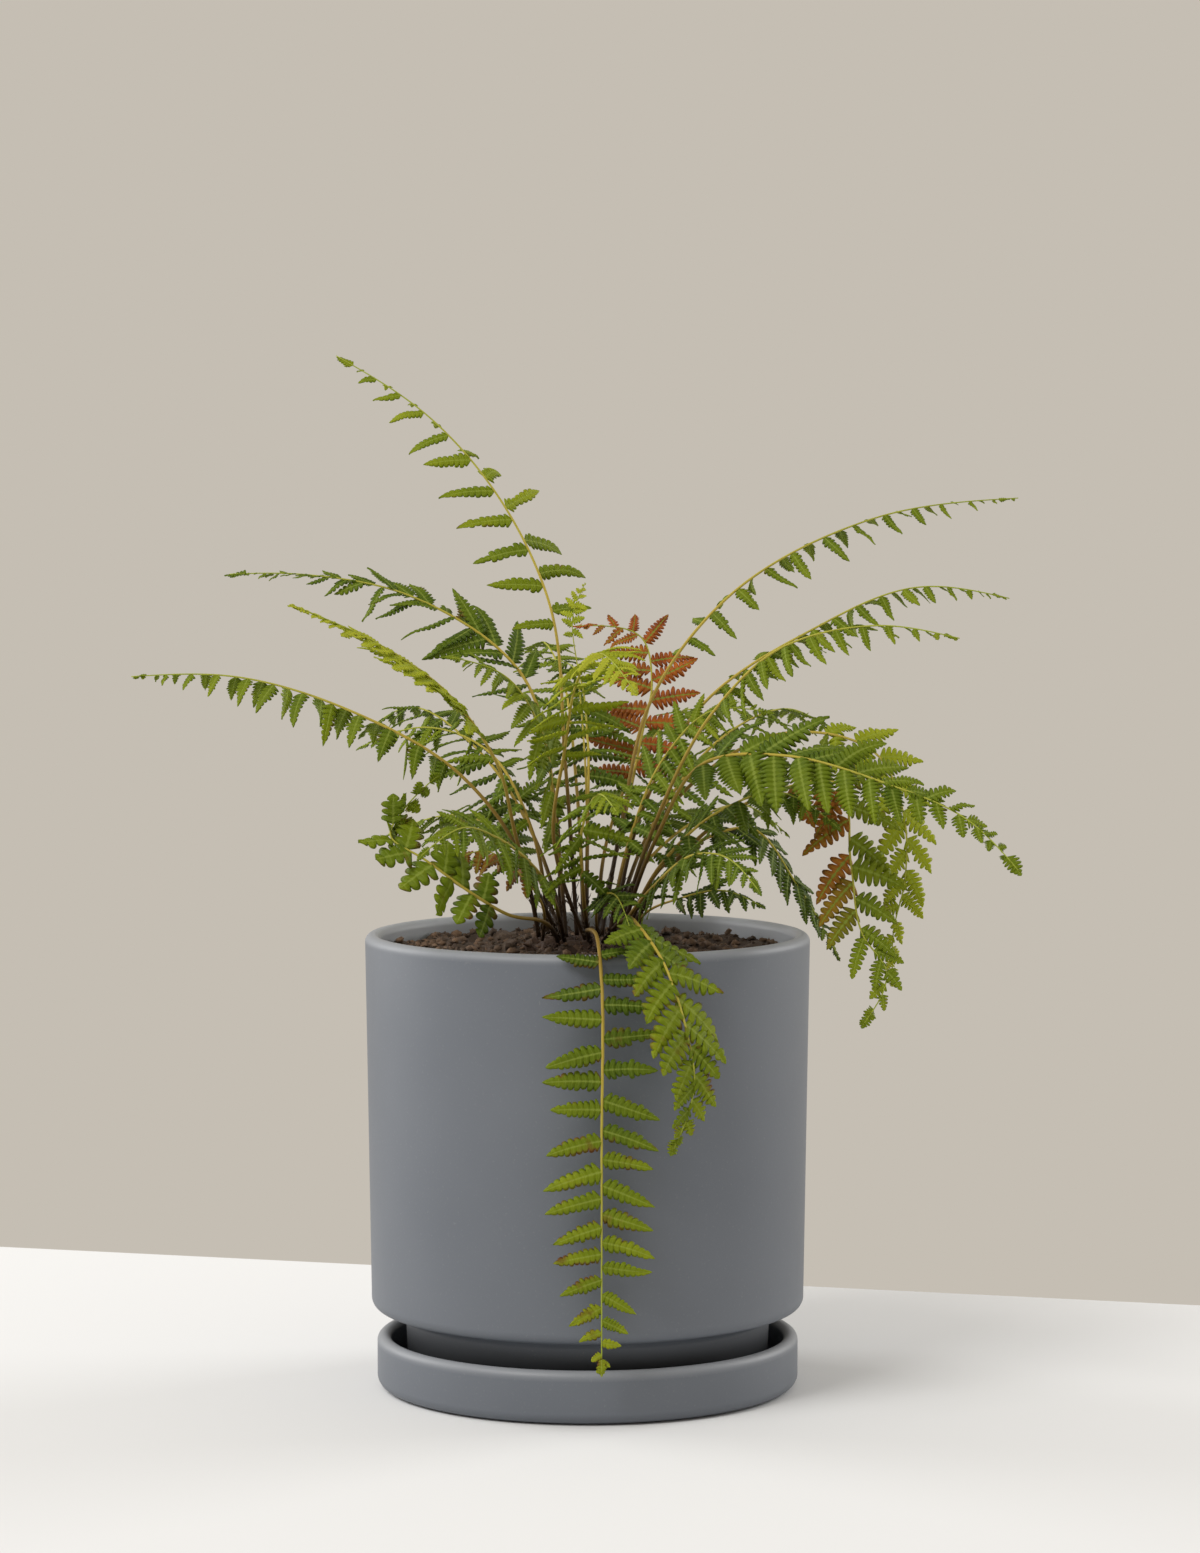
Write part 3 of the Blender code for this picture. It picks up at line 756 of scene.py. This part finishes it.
grow_frond("trailing_front", ring=25, bare=0.28, pairs=16, reach=25, roll=0, droop=4,
           route=[(0, -60, 212), (4, -88, 212), (6, -112, 195), (6, -114, 125), (6, -114, 70),
                  (6, -110, 25)],
           half=4.2, level=0.0, hang=0.1, hook=0.0, lobes=9, depth=0.35,
           young=(0.14, 0.62), dry=0.56, sweep=-8, twist=6, taper=4.0)
grow_frond("trailing_right", ring=25, bare=0.36, pairs=11, reach=26, roll=15, droop=6,
           route=[(15, -50, 215), (22, -92, 217), (34, -120, 200), (42, -130, 175),
                  (45, -130, 155), (36, -126, 125)],
           half=6.6, level=0.0, hang=0.3, lobes=7, depth=0.78, young=(0.3, 0.5),
           dry=0.55, sweep=20, point=2.8)

# The long ones that lean to the right.

grow_frond("right_upper", ring=8, bare=0.42, pairs=13, reach=18, roll=-25, droop=30,
           route=[(15, 20, 250), (30, 35, 310), (65, 50, 355), (130, 60, 390), (200, 75, 400)],
           half=3.0, level=0.25, hang=0.6, hook=0.6, lobes=8, depth=0.4,
           young=(0.35, 0.48))
grow_frond("right_second", ring=12, bare=0.44, pairs=14, reach=18, roll=-25, droop=35,
           route=[(25, 10, 260), (50, 10, 305), (100, 15, 340), (150, 15, 360), (190, 10, 355)],
           half=3.0, level=0.3, hang=0.6, hook=0.6, lobes=8, depth=0.4,
           young=(0.33, 0.48))
grow_frond("right_third", ring=16, bare=0.46, pairs=11, reach=18, roll=-25, droop=38,
           route=[(30, -15, 255), (55, -30, 305), (85, -50, 335), (125, -65, 345),
                  (160, -80, 340)],
           half=3.0, level=0.3, hang=0.6, hook=0.6, lobes=8, depth=0.4,
           young=(0.33, 0.48))
grow_frond("rust_back", ring=10, bare=0.42, pairs=11, reach=26, roll=10, droop=10,
           route=[(15, 40, 245), (25, 60, 290), (30, 75, 315), (25, 90, 335), (-5, 100, 340)],
           half=4.8, level=0.0, lobes=10, young=(0.2, 0.4), rust=(0.9, 1.0),
           dry=0.25, depth=0.76)
grow_frond("broad_right", ring=21, bare=0.36, pairs=16, reach=33, roll=-40, droop=6,
           route=[(30, -40, 250), (50, -65, 285), (85, -90, 290), (125, -110, 280),
                  (160, -125, 265), (180, -140, 245)],
           half=7.0, level=0.25, hang=0.5, lobes=12, depth=0.76,
           young=(0.24, 0.42), sweep=22, twist=16, taper=1.2)
grow_frond("right_hanging", ring=19, bare=0.40, pairs=12, reach=27, roll=-65, droop=10,
           route=[(45, -20, 245), (80, -35, 270), (110, -50, 275), (115, -60, 240),
                  (120, -65, 210), (130, -65, 195), (120, -60, 170)],
           half=5.4, level=0.0, hang=0.3, lobes=8, young=(0.28, 0.48),
           rust=(0.05, 0.8), dry=0.4, fade=0.68, depth=0.76)
grow_frond("right_lime", ring=15, bare=0.50, pairs=11, reach=22, roll=-55, droop=15,
           route=[(40, 0, 265), (90, 0, 295), (130, -20, 285), (140, -30, 260), (140, -35, 230),
                  (135, -40, 210), (135, -40, 185)],
           half=5.2, level=0.0, hang=0.3, lobes=8, young=(0.62, 0.8), dry=0.3,
           depth=0.76)
grow_frond("dark_right", ring=23, bare=0.40, pairs=15, reach=17, roll=-35, droop=20,
           route=[(30, 5, 230), (50, 10, 245), (75, 20, 250), (95, 20, 225), (115, 25, 190)],
           half=3.8, lobes=9, young=(0.04, 0.2), dry=0.3, twist=26)

# The ones between them, and the ones towards the back.

grow_frond("lime_front", ring=14, bare=0.4, pairs=18, reach=26, roll=-20, droop=10,
           route=[(-15, -30, 250), (-10, -50, 290), (-5, -80, 320), (5, -120, 335),
                  (20, -160, 320)],
           half=4.0, level=0.5, lobes=10, young=(0.62, 0.95))
grow_frond("left_mid", ring=21, bare=0.3, pairs=15, reach=24, roll=35, droop=25,
           route=[(-25, 10, 250), (-45, 25, 285), (-75, 45, 295), (-105, 60, 285)],
           young=(0.25, 0.4), level=0.5, twist=28, depth=0.75, hang=0.5)
grow_frond("back_left", ring=18, bare=0.3, pairs=16, reach=27, roll=0, droop=20,
           route=[(-25, 50, 245), (-55, 95, 285), (-85, 130, 300), (-110, 155, 285)],
           young=(0.12, 0.3), twist=20, depth=0.72)
grow_frond("back_centre_left", ring=13, bare=0.3, pairs=16, reach=27, roll=0, droop=20,
           route=[(-5, 70, 265), (-12, 125, 315), (-22, 170, 330), (-28, 205, 318)],
           young=(0.25, 0.42), twist=20, depth=0.72)
grow_frond("back_centre_right", ring=15, bare=0.3, pairs=16, reach=27, roll=0, droop=20,
           route=[(10, 65, 245), (30, 110, 285), (50, 150, 298), (65, 185, 280)],
           young=(0.25, 0.45), twist=20, depth=0.72)
grow_frond("back_right", ring=18, bare=0.3, pairs=16, reach=27, roll=0, droop=20,
           route=[(30, 45, 250), (65, 80, 290), (95, 115, 300), (120, 150, 285)],
           young=(0.22, 0.4), twist=20, depth=0.72)
grow_frond("right_mid", ring=20, bare=0.3, pairs=15, reach=24, roll=-40, droop=20,
           route=[(34, -30, 240), (60, -44, 264), (84, -56, 272), (108, -64, 258)],
           young=(0.12, 0.3), level=0.5, twist=26)
grow_frond("front_left_low", ring=23, bare=0.28, pairs=15, reach=23, roll=45, droop=20,
           route=[(-20, -55, 235), (-40, -85, 255), (-55, -110, 260), (-70, -125, 250)],
           young=(0.2, 0.4), twist=22)
grow_frond("front_right_low", ring=24, bare=0.28, pairs=15, reach=23, roll=-40, droop=20,
           route=[(28, -58, 230), (46, -84, 247), (60, -104, 247), (72, -120, 235)],
           young=(0.12, 0.3), twist=26)
grow_frond("front_centre", ring=20, bare=0.3, pairs=15, reach=24, roll=-20, droop=20,
           route=[(-2, -55, 230), (-2, -90, 260), (4, -115, 275), (12, -145, 270)],
           young=(0.3, 0.5), level=0.6, twist=28, depth=0.75, hang=0.5)
grow_frond("inner_back", ring=9, bare=0.28, pairs=17, reach=26, roll=10, droop=20,
           route=[(0, 20, 255), (0, 45, 290), (-5, 65, 320), (-20, 90, 325)],
           young=(0.12, 0.3), level=0.6, twist=28, depth=0.75, hang=0.5)
grow_frond("inner_right", ring=10, bare=0.28, pairs=17, reach=25, roll=-45, droop=20,
           route=[(20, 0, 250), (35, -5, 285), (55, -10, 305), (80, -10, 305)],
           young=(0.25, 0.45), level=0.6, twist=28, depth=0.75, hang=0.5)
grow_frond("inner_left", ring=11, bare=0.28, pairs=17, reach=26, roll=40, droop=20,
           route=[(-15, -5, 260), (-20, -15, 295), (-35, -20, 320), (-60, -30, 330)],
           young=(0.3, 0.5), level=0.6, twist=28, depth=0.75, hang=0.5)
grow_frond("left_low_back", ring=22, bare=0.3, pairs=14, reach=24, roll=20, droop=20,
           route=[(-25, 40, 230), (-50, 70, 250), (-70, 100, 250), (-95, 120, 240)],
           young=(0.2, 0.4), twist=20, depth=0.72)
grow_frond("right_low_back", ring=22, bare=0.3, pairs=14, reach=24, roll=-25, droop=20,
           route=[(25, 45, 230), (50, 70, 250), (75, 100, 255), (95, 120, 240)],
           young=(0.2, 0.4), twist=20, depth=0.72)

# The small ones: one withered, two half hidden on the soil, and one that has only just unrolled.

grow_frond("withered_left", ring=27, bare=0.45, pairs=7, reach=16, roll=30, droop=15,
           route=[(-20, -30, 220), (-30, -40, 235), (-45, -40, 245), (-60, -45, 240)],
           half=3.2, lobes=6, young=(0.1, 0.2), rust=(0.5, 0.5), dry=1.1,
           thick=0.7, hang=0.8, twist=26, gaps=0.25)
grow_frond("low_right", ring=27, bare=0.40, pairs=9, reach=15, roll=-30, droop=15,
           route=[(24, -24, 214), (42, -36, 224), (60, -46, 228), (76, -54, 222)],
           half=2.8, lobes=7, young=(0.0, 0.12), thick=0.7, twist=26)
grow_frond("low_front", ring=30, bare=0.40, pairs=9, reach=15, roll=-20, droop=15,
           route=[(4, -44, 219), (8, -62, 228), (13, -80, 228), (18, -96, 217)],
           half=2.8, lobes=7, young=(0.02, 0.18), thick=0.7, twist=26)
grow_frond("young", ring=2, bare=0.84, pairs=7, reach=7, roll=30, droop=0,
           route=[(-1, 6, 280), (-4, 8, 320), (-6, 8, 350), (-1, 6, 362)],
           half=1.8, lobes=5, young=(0.6, 0.9), thick=0.7)

# ---------------------------------------------------------------------------------------------
# Stage, light and camera
# A pale table whose far edge runs slantwise behind the pot, a plain beige wall beyond it, and
# soft daylight from the front left.

wall_color = (0.558, 0.515, 0.451)
table_r = 60.0
table_steps = 128
edge_y = 0.2735
edge_slope = 0.2778
edge_blur = 0.0004


def stage_finish():
    """Pale matt table in front of the slanted edge line, wall colour beyond it."""
    finish = Finish("stage")
    past_edge = finish.coordinate("Y") + finish.coordinate("X") * edge_slope - edge_y
    beyond = past_edge.rise(-edge_blur, edge_blur)
    table = finish.add("ShaderNodeBsdfDiffuse", {}, {"Color": (0.71, 0.72, 0.735, 1.0)})
    wall = finish.add("ShaderNodeEmission", {}, {"Color": (*wall_color, 1.0), "Strength": 1.0})
    both = finish.add("ShaderNodeMixShader", {}, {0: beyond, 1: table, 2: wall})
    finish.add("ShaderNodeOutputMaterial", {}, {"Surface": both})
    return finish.material


turn = np.linspace(0, 2 * math.pi, table_steps, endpoint=False)[:, None]
radial = np.array([0.0, table_r])[None, :]
points = np.stack([np.cos(turn) * radial, np.sin(turn) * radial, np.zeros((table_steps, 2))], -1)
table = add_mesh("table", points, round_faces(table_steps, 2), weld=True)
table.data.materials.append(stage_finish())


def area_light(name, place, aim, size, power, color=(1.0, 1.0, 1.0)):
    """A square soft light at one point that faces another."""
    lamp = bpy.data.lights.new(name, "AREA")
    lamp.size = size
    lamp.energy = power
    lamp.color = color
    obj = bpy.data.objects.new(name, lamp)
    obj.location = place
    way = np.array(aim, float) - np.array(place, float)
    flat = math.hypot(way[0], way[1])
    obj.rotation_euler = (math.atan2(flat, -way[2]), 0.0, math.atan2(-way[0], way[1]))
    bpy.context.scene.collection.objects.link(obj)


area_light("key", (-3.6, -3.9, 5.5), (0.2, 0.0, 0.2), 3.1, 350.0, (1.0, 0.985, 0.96))
area_light("left", (-2.0, 0.9, 0.9), (0.0, 0.0, 0.2), 1.2, 26.0)
area_light("right", (2.0, 0.9, 0.9), (0.0, 0.0, 0.2), 1.2, 26.0)

world = bpy.data.worlds.new("wall_light")
world.use_nodes = True
world.node_tree.nodes["Background"].inputs["Color"].default_value = (*wall_color, 1.0)
world.node_tree.nodes["Background"].inputs["Strength"].default_value = 1.0
bpy.context.scene.world = world

sensor = 36.0
lens = 101.9
eye = (0.0, -1.970, 0.4027)
pitch = 86.3
yaw = -0.163

camera = bpy.data.cameras.new("camera")
camera.sensor_width = sensor
camera.lens = lens
view = bpy.data.objects.new("camera", camera)
view.location = eye
view.rotation_euler = (math.radians(pitch), 0.0, math.radians(yaw))
bpy.context.scene.collection.objects.link(view)
bpy.context.scene.camera = view
bpy.context.scene.view_settings.view_transform = "Standard"
